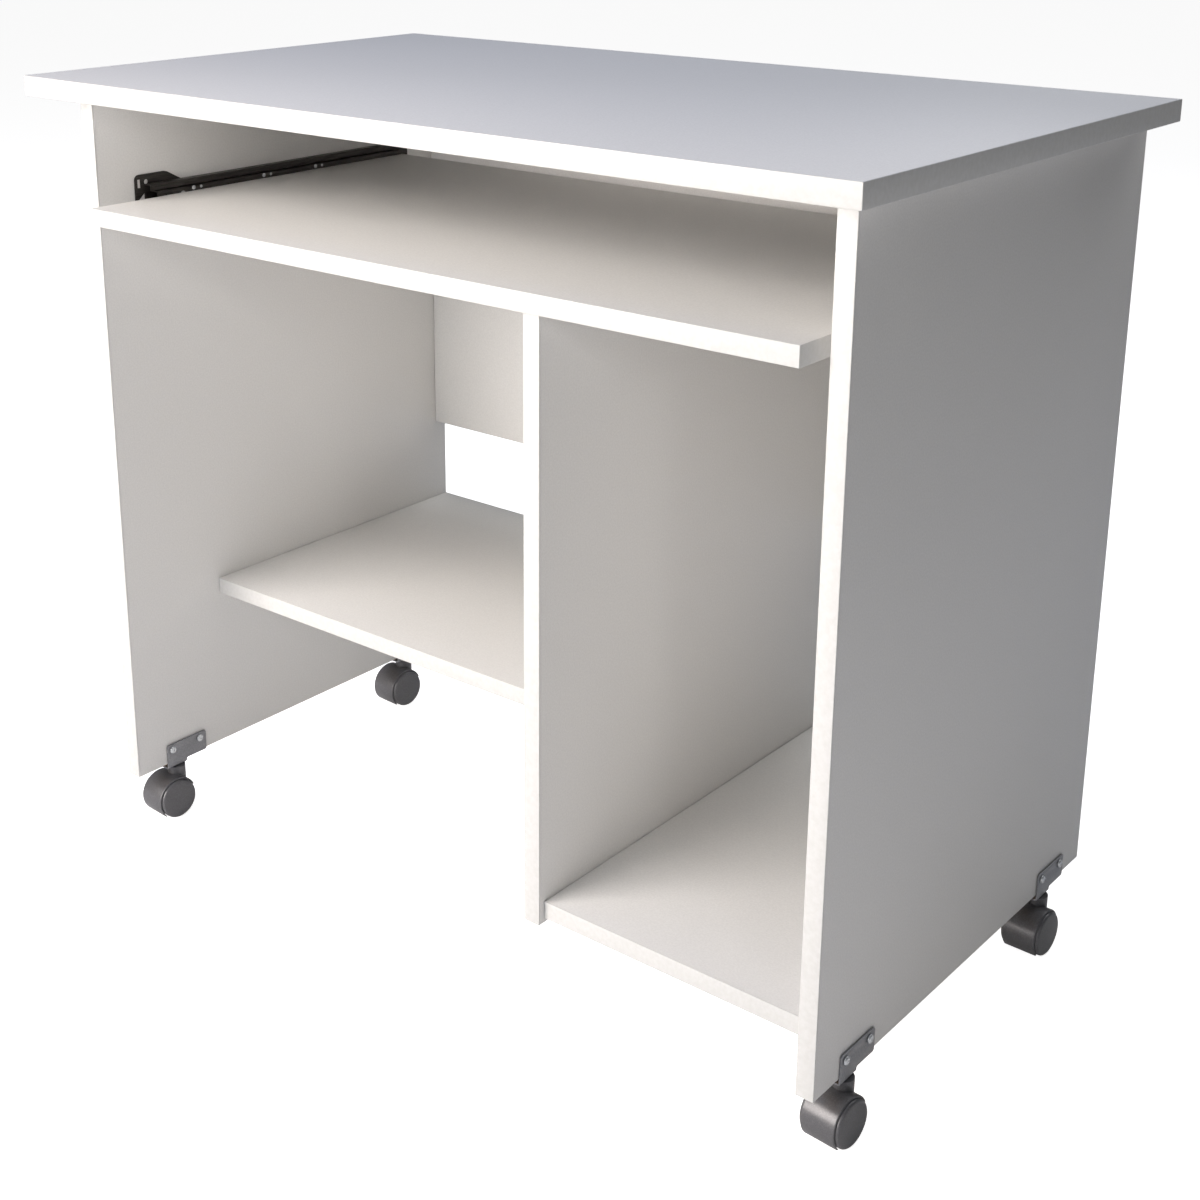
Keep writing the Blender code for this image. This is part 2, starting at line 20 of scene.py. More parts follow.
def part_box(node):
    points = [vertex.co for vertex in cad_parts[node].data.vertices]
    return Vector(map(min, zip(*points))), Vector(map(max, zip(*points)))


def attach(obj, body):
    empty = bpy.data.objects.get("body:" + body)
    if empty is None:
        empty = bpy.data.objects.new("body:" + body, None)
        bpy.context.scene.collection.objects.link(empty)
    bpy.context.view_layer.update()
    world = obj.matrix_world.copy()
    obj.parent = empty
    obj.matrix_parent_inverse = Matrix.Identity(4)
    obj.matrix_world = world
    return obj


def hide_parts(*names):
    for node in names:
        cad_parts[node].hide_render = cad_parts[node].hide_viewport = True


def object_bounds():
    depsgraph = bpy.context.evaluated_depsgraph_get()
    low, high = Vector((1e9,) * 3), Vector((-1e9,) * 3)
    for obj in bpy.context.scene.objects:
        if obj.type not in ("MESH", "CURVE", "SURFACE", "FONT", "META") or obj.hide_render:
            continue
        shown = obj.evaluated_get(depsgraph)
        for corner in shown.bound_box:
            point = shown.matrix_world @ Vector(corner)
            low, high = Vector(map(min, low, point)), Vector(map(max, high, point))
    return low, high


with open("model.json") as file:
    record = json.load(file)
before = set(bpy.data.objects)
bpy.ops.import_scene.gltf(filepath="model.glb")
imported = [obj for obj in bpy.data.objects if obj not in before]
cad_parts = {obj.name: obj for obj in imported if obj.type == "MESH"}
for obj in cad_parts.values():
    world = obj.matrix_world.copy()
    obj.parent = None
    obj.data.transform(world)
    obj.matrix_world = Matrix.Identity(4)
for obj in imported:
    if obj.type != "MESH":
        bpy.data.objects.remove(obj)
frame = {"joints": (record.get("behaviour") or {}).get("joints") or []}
cad_box = [list(corner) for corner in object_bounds()]
MM = 0.001
SIDES = (("left", -1), ("right", 1))
CASTORS = ("front_left", "front_right", "rear_left", "rear_right")
joints = {joint["name"]: joint for joint in frame["joints"]}
print("overall size in mm:", [round((b - a) / MM) for a, b in zip(*cad_box)])

# %% [markdown]
# ## Helpers for materials
#
# A colour picked on a screen is sRGB, while a shader works in linear light, so one function converts it.
# Each material is a small tree of nodes. One function adds a node, sets what it is given and links the
# rest, which keeps each recipe short enough to read as a list of steps.


# %% Colour and node helpers
def linear(hex_colour):
    """An sRGB hex colour such as "#E6E6E4" as the linear RGBA that a shader takes."""
    channels = [int(hex_colour[i : i + 2], 16) / 255 for i in (1, 3, 5)]
    return (*[c / 12.92 if c <= 0.04045 else ((c + 0.055) / 1.055) ** 2.4 for c in channels], 1)


def add(tree, kind, settings, inputs):
    """Adds a node. An input's value is either a plain value or another node's output to link."""
    made = tree.nodes.new("ShaderNode" + kind)
    for name, value in settings.items():
        setattr(made, name, value)
    for name, value in inputs.items():
        if isinstance(value, bpy.types.NodeSocket):
            tree.links.new(value, made.inputs[name])
        else:
            made.inputs[name].default_value = value
    return made


def new_material(name, settings):
    """A Principled material: the material, its tree, its shader and the object's coordinates."""
    made = bpy.data.materials.new(name)
    made.use_nodes = True
    shader = made.node_tree.nodes["Principled BSDF"]
    for socket, value in settings.items():
        shader.inputs[socket].default_value = value
    place = made.node_tree.nodes.new("ShaderNodeTexCoord").outputs["Object"]
    return made, made.node_tree, shader, place


def ramp(tree, factor, stops):
    """A colour ramp on a factor. Stops are (position, hex colour)."""
    made = add(tree, "ValToRGB", {}, {"Fac": factor})
    elements = made.color_ramp.elements
    while len(elements) < len(stops):
        elements.new(0.5)
    for element, (position, colour) in zip(elements, stops):
        element.position, element.color = position, linear(colour)
    return made.outputs["Color"]


def bump(tree, shader, height, depth, strength=1.0):
    """Turns a height between 0 and 1 into a relief of this depth in metres."""
    made = add(tree, "Bump", {}, {"Strength": strength, "Distance": depth, "Height": height})
    tree.links.new(made.outputs["Normal"], shader.inputs["Normal"])


def per_metre(size_mm):
    """A texture's scale for features of this size, in millimetres."""
    return 1 / (size_mm * MM)


# %% [markdown]
# ## The boards' three surfaces
#
# The broad faces are melamine: paper soaked in resin and pressed onto chipboard against an engraved steel
# plate. The plate leaves a pearl grain, which breaks up the highlight and is why the faces look softer
# than paint. The real grain is about 0.5 mm, too fine to show here, so it is drawn at 1.6 mm.
#
# The front edges carry a plastic band, which is smoother than the faces and a little cooler. Its grey is
# also darker than the faces' white, which is painted shade that keeps the front edges, lit by the key light,
# from burning out. Where an edge is left bare the chipboard shows: pressed wood chips of 1 to 3 mm in
# several browns.


# %% Melamine, edge band and chipboard
def melamine_pressed():
    made, tree, shader, place = new_material(
        "melamine_pearl_grain", {"Roughness": 0.46, "IOR": 1.5, "Specular IOR Level": 0.42}
    )
    grain = add(
        tree, "TexNoise", {}, {"Vector": place, "Scale": per_metre(1.6), "Detail": 2, "Roughness": 0.55}
    ).outputs["Fac"]
    whites = ramp(tree, grain, [(0.3, "#E2E1DF"), (0.7, "#EAE9E7")])
    tree.links.new(whites, shader.inputs["Base Color"])
    rough = add(tree, "MapRange", {}, {"Value": grain, "To Min": 0.42, "To Max": 0.52})
    tree.links.new(rough.outputs["Result"], shader.inputs["Roughness"])
    bump(tree, shader, grain, 0.05 * MM)
    return made


def edge_band_plastic():
    """Extruded ABS strip, planed flush after gluing. The plane leaves faint ripples about 4 mm apart."""
    made, tree, shader, place = new_material("edge_band_abs_painted_shade", {"Roughness": 0.36, "IOR": 1.5})
    ripple = add(tree, "TexNoise", {}, {"Vector": place, "Scale": per_metre(4), "Detail": 1})
    # The band's greys sit well below the faces' white: that is painted shade, which keeps the lit front
    # edges from burning out. The ripple between the two greys is the band's own.
    ripple_and_painted_shade = ramp(tree, ripple.outputs["Fac"], [(0.3, "#D0D0CE"), (0.7, "#D6D6D5")])
    tree.links.new(ripple_and_painted_shade, shader.inputs["Base Color"])
    bump(tree, shader, ripple.outputs["Fac"], 0.02 * MM)
    return made


def chipboard_sawn():
    """Sawn chipboard. Each Voronoi cell is one chip, and the dark gaps are pores between chips."""
    made, tree, shader, place = new_material("chipboard_sawn_edge", {"Roughness": 0.85})
    flat = add(tree, "Mapping", {}, {"Vector": place, "Scale": (0.5, 0.5, 1.0)}).outputs["Vector"]
    chips = add(tree, "TexVoronoi", {}, {"Vector": flat, "Scale": per_metre(1.4)})
    tone = add(tree, "RGBToBW", {}, {"Color": chips.outputs["Color"]}).outputs["Val"]
    browns = ramp(tree, tone, [(0.15, "#6E4F33"), (0.45, "#A37E57"), (0.8, "#C9A97F")])
    tree.links.new(browns, shader.inputs["Base Color"])
    bump(tree, shader, chips.outputs["Distance"], 0.3 * MM, 0.7)
    return made


MELAMINE, BAND, CHIPBOARD = melamine_pressed(), edge_band_plastic(), chipboard_sawn()
print("board materials:", MELAMINE.name, BAND.name, CHIPBOARD.name)

# %% [markdown]
# ## The metals and the castor plastic
#
# The slides are rolled steel strip with a black electrophoretic coat, thin enough that the strip's rolling
# lines still show along the rail. Screws, cages and pins are zinc plated, a bright metal with a slightly
# uneven tone. The balls are ground and polished. The brackets are pressed steel with a grey metallic
# paint, and the castors are moulded in grey plastic with metal flake in it.


# %% Metals and moulded plastic
def steel_strip_black():
    made, tree, shader, place = new_material(
        "steel_strip_black_coated", {"Metallic": 0.55, "Roughness": 0.38}
    )
    along = add(tree, "Mapping", {}, {"Vector": place, "Scale": (1.0, 0.04, 1.0)}).outputs["Vector"]
    lines = add(tree, "TexNoise", {}, {"Vector": along, "Scale": per_metre(0.8), "Detail": 2})
    blacks = ramp(tree, lines.outputs["Fac"], [(0.3, "#2A2826"), (0.7, "#45423F")])
    tree.links.new(blacks, shader.inputs["Base Color"])
    rough = add(tree, "MapRange", {}, {"Value": lines.outputs["Fac"], "To Min": 0.3, "To Max": 0.46})
    tree.links.new(rough.outputs["Result"], shader.inputs["Roughness"])
    bump(tree, shader, lines.outputs["Fac"], 0.02 * MM)
    return made


def steel_zinc_plated():
    made, tree, shader, place = new_material("steel_zinc_plated", {"Metallic": 0.55, "Roughness": 0.2})
    spangle = add(tree, "TexVoronoi", {}, {"Vector": place, "Scale": per_metre(0.9)})
    tone = add(tree, "RGBToBW", {}, {"Color": spangle.outputs["Color"]}).outputs["Val"]
    greys = ramp(tree, tone, [(0.2, "#D2D6DA"), (0.8, "#E6E9EC")])
    tree.links.new(greys, shader.inputs["Base Color"])
    rough = add(tree, "MapRange", {}, {"Value": tone, "To Min": 0.16, "To Max": 0.24})
    tree.links.new(rough.outputs["Result"], shader.inputs["Roughness"])
    return made


def steel_ball_polished():
    made, tree, shader, place = new_material(
        "steel_ball_polished", {"Base Color": linear("#C9CCD0"), "Metallic": 1.0}
    )
    haze = add(tree, "TexNoise", {}, {"Vector": place, "Scale": per_metre(1.5)})
    rough = add(tree, "MapRange", {}, {"Value": haze.outputs["Fac"], "To Min": 0.08, "To Max": 0.16})
    tree.links.new(rough.outputs["Result"], shader.inputs["Roughness"])
    return made


def paint_metallic_grey():
    """Stoved paint on pressed steel, with the orange peel of about 1.5 mm that spraying leaves."""
    made, tree, shader, place = new_material(
        "steel_pressed_grey_paint", {"Metallic": 0.5, "Roughness": 0.4, "Coat Weight": 0.15}
    )
    peel = add(tree, "TexNoise", {}, {"Vector": place, "Scale": per_metre(1.5), "Detail": 1})
    greys = ramp(tree, peel.outputs["Fac"], [(0.3, "#86878B"), (0.7, "#94959A")])
    tree.links.new(greys, shader.inputs["Base Color"])
    bump(tree, shader, peel.outputs["Fac"], 0.02 * MM)
    return made


def plastic_metal_flake():
    """Nylon moulded with metal flake. The flakes lie at random, so they are a fine speckle of tones."""
    made, tree, shader, place = new_material(
        "nylon_moulded_metal_flake", {"Metallic": 0.3, "Roughness": 0.38, "IOR": 1.53}
    )
    flakes = add(tree, "TexVoronoi", {}, {"Vector": place, "Scale": per_metre(0.7)})
    tone = add(tree, "RGBToBW", {}, {"Color": flakes.outputs["Color"]}).outputs["Val"]
    greys = ramp(tree, tone, [(0.1, "#5C5C5F"), (0.6, "#626265"), (0.95, "#6C6C70")])
    tree.links.new(greys, shader.inputs["Base Color"])
    cloud = add(tree, "TexNoise", {}, {"Vector": place, "Scale": per_metre(3)})
    rough = add(tree, "MapRange", {}, {"Value": cloud.outputs["Fac"], "To Min": 0.3, "To Max": 0.36})
    tree.links.new(rough.outputs["Result"], shader.inputs["Roughness"])
    bump(tree, shader, cloud.outputs["Fac"], 0.008 * MM)
    return made


BLACK_STEEL, ZINC, BALL_STEEL = steel_strip_black(), steel_zinc_plated(), steel_ball_polished()
PAINTED_STEEL, FLAKE_PLASTIC = paint_metallic_grey(), plastic_metal_flake()

# %% [markdown]
# ## Helpers for shapes
#
# A shape is worked out as a bmesh, and only becomes an object when it is finished. Three helpers are used
# throughout. `run_modifier` puts one modifier on a shape and takes back the result, which gives a script
# the Boolean, Solidify and Bevel of the editor. `combine` joins two closed shapes or cuts one from the
# other. `place` makes the object, with its mesh already where it belongs, tells the frame which body it
# rides on, and hides the CAD node that it stands for.


# %% Shape helpers
def mesh_from(shape, name):
    """Turns a shape's faces outwards and stores it as a mesh. The shape is used up."""
    bmesh.ops.remove_doubles(shape, verts=shape.verts, dist=1e-7)
    bmesh.ops.recalc_face_normals(shape, faces=shape.faces)
    mesh = bpy.data.meshes.new(name)
    shape.to_mesh(mesh)
    shape.free()
    return mesh


def link(name, mesh):
    obj = bpy.data.objects.new(name, mesh)
    bpy.context.scene.collection.objects.link(obj)
    return obj


def run_modifier(shape, kind, **settings):
    """Runs one modifier on a shape and returns the result."""
    helper = link("helper", mesh_from(shape, "helper"))
    modifier = helper.modifiers.new(kind, kind)
    for name, value in settings.items():
        setattr(modifier, name, value)
    result = bmesh.new()
    result.from_object(helper, bpy.context.evaluated_depsgraph_get())
    bpy.data.objects.remove(helper)
    return result


def combine(first, second, operation):
    """Joins two closed shapes ("UNION"), or cuts the second from the first ("DIFFERENCE")."""
    tool = link("tool", mesh_from(second, "tool"))
    result = run_modifier(first, "BOOLEAN", operation=operation, solver="EXACT", object=tool)
    bpy.data.objects.remove(tool)
    return result


def soften(shape, width, segments=2, sharpest=40):
    """Rounds every edge that turns by more than this many degrees."""
    return run_modifier(
        shape,
        "BEVEL",
        width=width,
        segments=segments,
        limit_method="ANGLE",
        angle_limit=math.radians(sharpest),
        use_clamp_overlap=True,
    )


def place(shape, name, looks, body, slot, nodes, smooth=35):
    """Finishes a piece: its mesh, materials, shading, body and the CAD nodes that it replaces. The slot is
    not used.
    """
    mesh = mesh_from(shape, name)
    for look in looks:
        mesh.materials.append(look)
    mesh.shade_smooth()
    mesh.set_sharp_from_angle(angle=math.radians(smooth))
    piece = link(name, mesh)
    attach(piece, body)
    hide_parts(*nodes)
    return piece


def add_cylinder(shape, centre, radius, length, axis, segments=24):
    """Adds a closed cylinder to a shape, centred on a point. The axis is "X", "Y" or "Z"."""
    turns = {"X": (math.pi / 2, "Y"), "Y": (math.pi / 2, "X"), "Z": (0, "Z")}
    turn = Matrix.Rotation(turns[axis][0], 4, turns[axis][1])
    bmesh.ops.create_cone(
        shape,
        cap_ends=True,
        segments=segments,
        radius1=radius,
        radius2=radius,
        depth=length,
        matrix=Matrix.Translation(centre) @ turn,
    )


def add_box(shape, low, high):
    """Adds a box between two corners to a shape and returns its corners."""
    low, high = Vector(low), Vector(high)
    corners = bmesh.ops.create_cube(shape, size=1)["verts"]
    bmesh.ops.scale(shape, vec=high - low, verts=corners)
    bmesh.ops.translate(shape, vec=(low + high) / 2, verts=corners)
    return corners


def round_off(shape, geom, radius, segments, affect="EDGES", material=-1):
    """Rounds edges or single vertices. New faces take the material beside them, unless one is given."""
    bmesh.ops.bevel(
        shape, geom=geom, offset=radius, segments=segments, profile=0.5, affect=affect, material=material
    )


def edges_where(shape, test):
    """The edges whose two ends both pass a test on their position."""
    return [edge for edge in shape.edges if all(test(end.co) for end in edge.verts)]


def turned(profile, segments, axis="X"):
    """Spins a profile into a closed shape. It is (along the axis, radius), and it starts and ends on it."""
    shape = bmesh.new()
    points = [shape.verts.new((a, 0, r) if axis == "X" else (r, 0, a)) for a, r in profile]
    edges = [shape.edges.new(pair) for pair in zip(points, points[1:])]
    bmesh.ops.spin(
        shape,
        geom=points + edges,
        cent=(0, 0, 0),
        axis=(1, 0, 0) if axis == "X" else (0, 0, 1),
        angle=math.tau,
        steps=segments,
        use_merge=True,
    )
    bmesh.ops.remove_doubles(shape, verts=shape.verts, dist=1e-6)
    return shape


def arc(centre, radius, start, end, steps=5):
    """Points on an arc in a profile, between two angles in degrees."""
    angles = [math.radians(start + (end - start) * step / steps) for step in range(steps + 1)]
    return [(centre[0] + radius * math.cos(a), centre[1] + radius * math.sin(a)) for a in angles]


# %% [markdown]
# ## Boards
#
# A board is a box, but a box with perfectly sharp edges never catches the light, and it looks computed.
# Real foil edges are eased with a file, so every edge gets a radius of 0.4 mm. The bare lower ends of the
# uprights are different: sawing chips the foil there, so their edge is a wider chamfer that shows the
# brown core. `bmesh.ops.bevel` takes a material for the faces that it makes, which does just this.

# %% Board shapes
EASED = 0.4 * MM
CHIPPED = 0.8 * MM
CORE, STRIP = 1, 2  # places in a board's list of materials, after the melamine at 0


def board(node, body="desk", bare=(), banded=()):
    """A board in its CAD box. bare and banded name faces by direction, such as (0, 0, -1)."""
    low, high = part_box(node)
    shape = bmesh.new()
    add_box(shape, low, high)
    shape.normal_update()
    chipped = []
    for face in shape.faces:
        direction = tuple(round(value) for value in face.normal)
        if direction in bare:
            face.material_index = CORE
            chipped += [edge for edge in face.edges if edge not in chipped]
        if direction in banded:
            face.material_index = STRIP
    if chipped:
        round_off(shape, chipped, CHIPPED, 1, material=CORE)
    square = [edge for edge in shape.edges if edge.calc_face_angle(0) > math.radians(80)]
    round_off(shape, square, EASED, 2)
    looks = [MELAMINE, CHIPBOARD, BAND]
    return place(shape, node + "_board", looks, body, "white_board", [node])


DOWN, BACK, LEFT, RIGHT = (0, 0, -1), (0, 1, 0), (-1, 0, 0), (1, 0, 0)
boards = [
    board("desk_top"),
    board("left_side", bare=[DOWN], banded=[BACK]),
    board("right_side", bare=[DOWN], banded=[BACK]),
    board("partition", bare=[DOWN]),
    board("low_shelf", bare=[BACK]),
    board("bottom_board", bare=[BACK]),
    board("back_traverse", banded=[DOWN]),
    board("keyboard_shelf", "drawer", bare=[BACK], banded=[LEFT, RIGHT]),
]
print("boards:", len(boards), "with", sum(len(piece.data.polygons) for piece in boards), "faces")

# %% [markdown]
# ## Edge bands
#
# A band is an 0.8 mm strip on the front edge. Its outer edges are scraped to a radius after gluing, which
# is the thin bright line along every front edge of a board. A straight band is a box whose front edges
# are rounded. The top's band goes round all four sides: it is a flat box with a smaller box cut out of it,
# and only the edges on its outside are rounded.

# %% Edge bands
SCRAPED = 0.6 * MM
GLUE_LINE = 0.3 * MM  # between the top and the band round it
TINY = 1e-6


def straight_band(board_node, body="desk"):
    node = board_node + "_band"
    low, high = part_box(node)
    shape = bmesh.new()
    add_box(shape, low, high)
    front = edges_where(shape, lambda point: abs(point.y - low.y) < TINY)
    round_off(shape, front, SCRAPED, 3)
    return place(shape, board_node + "_front_band", [BAND], body, "edge_band", [node])


def ring_band():
    low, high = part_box("desk_top_band")
    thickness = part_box("desk_top")[0].x - low.x - GLUE_LINE
    inset = Vector((thickness, thickness, -1 * MM))
    shape, core = bmesh.new(), bmesh.new()
    add_box(shape, low, high)
    add_box(core, low + inset, high - inset)
    shape = combine(shape, core, "DIFFERENCE")

    def outside(point):
        on_side = min(abs(point.x - low.x), abs(point.x - high.x)) < TINY
        return on_side or min(abs(point.y - low.y), abs(point.y - high.y)) < TINY

    round_off(shape, edges_where(shape, outside), SCRAPED, 3)
    return place(shape, "desk_top_edge_band", [BAND], "desk", "edge_band", ["desk_top_band"])


bands = [straight_band(name) for name in ("left_side", "right_side", "partition")]
bands += [straight_band("low_shelf"), straight_band("bottom_board")]
bands += [straight_band("keyboard_shelf", "drawer"), ring_band()]
print("bands:", len(bands))

# %% [markdown]
# ## Ball slides
#
# A slide is three strips of rolled steel inside each other. Sheet metal is easiest to draw the way it is
# made: a flat strip is folded, and its thickness comes last. So each section is drawn as a single line,
# the line is extruded along the rail, the fold edges are rounded with `bevel`, and Solidify gives the sheet
# its thickness. The folds then have the even wall and the round outer corner that rolled steel has.
#
# `u` is measured from the side panel towards the shelf and `w` up from the slide's middle.

# %% Folded steel
SHEET, FOLD_R = 1.2 * MM, 1.4 * MM
INNER_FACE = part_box("right_side")[0].x
SLIDE_MID = sum(corner.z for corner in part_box("moving_rail_left")) / 2


def rail_span(node):
    low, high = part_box(node)
    return low.y, high.y


def folded(points, start, end, sign, sheet, radius):
    """A folded strip from start to end along Y. points are the (u, w) of its middle line."""
    shape = bmesh.new()
    line = [shape.verts.new((sign * (INNER_FACE - u), start, SLIDE_MID + w)) for u, w in points]
    edges = [shape.edges.new(pair) for pair in zip(line, line[1:])]
    grown = bmesh.ops.extrude_edge_only(shape, edges=edges)["geom"]
    moved = [item for item in grown if isinstance(item, bmesh.types.BMVert)]
    bmesh.ops.translate(shape, vec=(0, end - start, 0), verts=moved)
    folds = [edge for edge in shape.edges if len(edge.link_faces) == 2]
    round_off(shape, folds, radius, 4)
    return run_modifier(shape, "SOLIDIFY", thickness=sheet, offset=0, use_even_offset=True)


def across(sign, u):
    """The world x of a distance from the side panel."""
    return sign * (INNER_FACE - u)


# %% [markdown]
# The fixed rail is a C, screwed to the side panel. Its web runs on at the front into a flat tab that
# stands above the rail, with a rounded corner, a slot, a round hole and a notch at its foot. The tab is
# drawn as a flat outline whose top corner is rounded by bevelling that one vertex. It is extruded to the
# sheet's thickness and joined to the rail, and then all the holes are cut at once.

# %% Fixed rails
RAIL_HALF, RAIL_LIP, RAIL_DEEP = 13.5 * MM, 5.5 * MM, 10.5 * MM
PANEL_GAP = 0.3 * MM
FLAT_HEAD_R = 3.4 * MM
TAB_TOP, TAB_FOOT, TAB_NOTCH = 22.5 * MM, -1 * MM, 5.5 * MM
TAB_LONG, TAB_SLOPE, TAB_FOOT_LONG = 36.5 * MM, 54.5 * MM, 3.5 * MM
TAB_JOIN = 6 * MM  # how far the tab runs over the rail
TAB_HOLE, TAB_HOLE_R = (13 * MM, 15.2 * MM), 2.5 * MM  # from the tab's tip, and above the slide's middle
TAB_SLOT, TAB_SLOT_SIZE = (4.8 * MM, 14.2 * MM), (3.6 * MM, 8 * MM)
RAIL_BEFORE_SCREW = 25 * MM
HEAD_ROOM = 0.2 * MM


def screw_places(side):
    """The y of each screw that holds a fixed rail."""
    boxes = [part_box(f"rail_screw_{side}_{index}") for index in (1, 2)]
    return [(low.y + high.y) / 2 for low, high in boxes]


def tab_plate(sign, tip, rail_front):
    outline = [
        (tip, TAB_FOOT),
        (tip + TAB_FOOT_LONG, TAB_FOOT),
        (rail_front, TAB_NOTCH),
        (tip + TAB_SLOPE - TAB_JOIN, TAB_NOTCH),
        (tip + TAB_SLOPE, RAIL_HALF - SHEET / 2),
        (tip + TAB_LONG, TAB_TOP),
        (tip, TAB_TOP),
    ]
    hair = 0.05 * MM  # the tab is this much inside the web's faces, so that none coincide
    near, far = across(sign, PANEL_GAP + hair), across(sign, PANEL_GAP + SHEET - hair)
    shape = bmesh.new()
    corners = [shape.verts.new((near, y, SLIDE_MID + w)) for y, w in outline]
    shape.faces.new(corners)
    for corner, radius in ((corners[-1], 5 * MM), (corners[-2], 3 * MM)):
        round_off(shape, [corner], radius, 5, affect="VERTICES")
    grown = bmesh.ops.extrude_face_region(shape, geom=list(shape.faces))["geom"]
    moved = [item for item in grown if isinstance(item, bmesh.types.BMVert)]
    bmesh.ops.translate(shape, vec=(far - near, 0, 0), verts=moved)
    return shape


def fixed_rail(side, sign):
    node = f"fixed_rail_{side}"
    tip, end = rail_span(node)
    front = screw_places(side)[0] - RAIL_BEFORE_SCREW
    web, top, lip = PANEL_GAP + SHEET / 2, RAIL_HALF - SHEET / 2, RAIL_DEEP - SHEET / 2
    upper = [(web, top), (lip, top), (lip, RAIL_HALF - RAIL_LIP)]
    section = [(u, -w) for u, w in reversed(upper)] + upper
    rail = folded(section, front, end, sign, SHEET, FOLD_R)
    rail = combine(rail, tab_plate(sign, tip, front), "UNION")
    x = across(sign, web)
    holes = bmesh.new()
    for y in screw_places(side):
        add_cylinder(holes, (x, y, SLIDE_MID), FLAT_HEAD_R + HEAD_ROOM, 3 * SHEET, "X")
    add_cylinder(holes, (x, tip + TAB_HOLE[0], SLIDE_MID + TAB_HOLE[1]), TAB_HOLE_R, 3 * SHEET, "X")
    slot = Vector((x, tip + TAB_SLOT[0], SLIDE_MID + TAB_SLOT[1]))
    half = Vector((3 * SHEET, *TAB_SLOT_SIZE)) / 2
    add_box(holes, slot - half, slot + half)
    rail = combine(rail, holes, "DIFFERENCE")
    return place(rail, f"fixed_rail_{side}_rolled", [BLACK_STEEL], "desk", "slide_steel", [node])


fixed_rails = [fixed_rail(side, sign) for side, sign in SIDES]
print("fixed rail faces:", [len(rail.data.polygons) for rail in fixed_rails])

# %% [markdown]
# The moving rail is a smaller C that faces the other way, screwed to the end of the shelf. Its web shows
# above the shelf, with pairs of bright rivets along it, one large and one small. Between the two rails runs
# a ball cage: a thin folded strip with windows, in which the balls sit.

# %% Moving rails, cages and balls
MOVING_HALF, MOVING_LEG, MOVING_WEB = 7 * MM, 3.6 * MM, 12.4 * MM
RIVET_PAIRS = (-109 * MM, -21 * MM, 48 * MM)  # y of the large rivet of each pair
RIVET_STEP, RIVET_UP = 9 * MM, 4.8 * MM
LARGE_RIVET_R, SMALL_RIVET_R, RIVET_HIGH = 2.1 * MM, 1.5 * MM, 0.5 * MM


def moving_rail(side, sign):
    node = f"moving_rail_{side}"
    start, end = rail_span(node)
    web, leg = MOVING_WEB - SHEET / 2, MOVING_HALF - SHEET / 2
    section = [(MOVING_LEG, -leg), (web, -leg), (web, leg), (MOVING_LEG, leg)]
    rail = folded(section, start, end, sign, SHEET, FOLD_R)
    screw_low, screw_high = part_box(f"shelf_screw_{side}")
    holes = bmesh.new()
    centre = (across(sign, web), (screw_low.y + screw_high.y) / 2, SLIDE_MID)
    add_cylinder(holes, centre, FLAT_HEAD_R + HEAD_ROOM, 3 * SHEET, "X")
    rail = combine(rail, holes, "DIFFERENCE")
    rivets = bmesh.new()
    for pair in RIVET_PAIRS:
        for y, radius in ((pair, LARGE_RIVET_R), (pair + RIVET_STEP, SMALL_RIVET_R)):
            centre = Vector((across(sign, MOVING_WEB), y, SLIDE_MID + RIVET_UP))
            squash = Matrix.Diagonal((RIVET_HIGH / radius, 1, 1, 1))
            matrix = Matrix.Translation(centre) @ squash
            bmesh.ops.create_uvsphere(rivets, u_segments=20, v_segments=12, radius=radius, matrix=matrix)
    place(rivets, f"rivets_{side}", [ZINC], "drawer", "zinc_steel", [node], smooth=90)
    return place(rail, f"moving_rail_{side}_rolled", [BLACK_STEEL], "drawer", "slide_steel", [node])


CAGE_SHEET, CAGE_WEB, CAGE_FLANGE = 0.8 * MM, 2.2 * MM, 7.2 * MM
BALL_R, BALL_U, BALLS_PER_ROW = 2.4 * MM, 5.4 * MM, 3
WINDOW_R = 1.9 * MM
RACE = (MOVING_HALF + RAIL_HALF - SHEET) / 2  # height of a row of balls from the middle


def ball_cage(side, sign):
    node = f"ball_cage_{side}"
    start, end = rail_span(node)
    pitch = (end - start) / BALLS_PER_ROW
    web = CAGE_WEB + CAGE_SHEET / 2
    section = [(CAGE_FLANGE, -RACE), (web, -RACE), (web, RACE), (CAGE_FLANGE, RACE)]
    cage = folded(section, start, end, sign, CAGE_SHEET, 0.8 * MM)
    windows, balls = bmesh.new(), bmesh.new()
    for row in (-1, 1):
        for index in range(BALLS_PER_ROW):
            y = start + pitch * (index + 0.5)
            centre = Vector((across(sign, BALL_U), y, SLIDE_MID + row * RACE))
            add_cylinder(windows, centre, WINDOW_R, 3 * CAGE_SHEET, "Z")
            bmesh.ops.create_uvsphere(
                balls, u_segments=24, v_segments=14, radius=BALL_R, matrix=Matrix.Translation(centre)
            )
    cage = combine(cage, windows, "DIFFERENCE")
    body = f"cage_{side}"
    place(cage, f"ball_cage_{side}_folded", [ZINC], body, "zinc_steel", [node])
    place(balls, f"balls_{side}", [BALL_STEEL], body, "zinc_steel", [node], smooth=90)


moving_rails = [moving_rail(side, sign) for side, sign in SIDES]
for side, sign in SIDES:
    ball_cage(side, sign)
print("moving rail faces:", [len(rail.data.polygons) for rail in moving_rails])

# %% [markdown]
# ## Screws
#
# A screw head is turned, so its profile is spun. The cross recess is then cut with two thin wedges at
# right angles, which narrow towards the bottom as the tip of a screwdriver does. The slides' screws have
# flat heads, to clear the balls, and the brackets' have domed pan heads.

# %% Screws
SHANK_R, SHANK_LONG = 1.75 * MM, 12 * MM


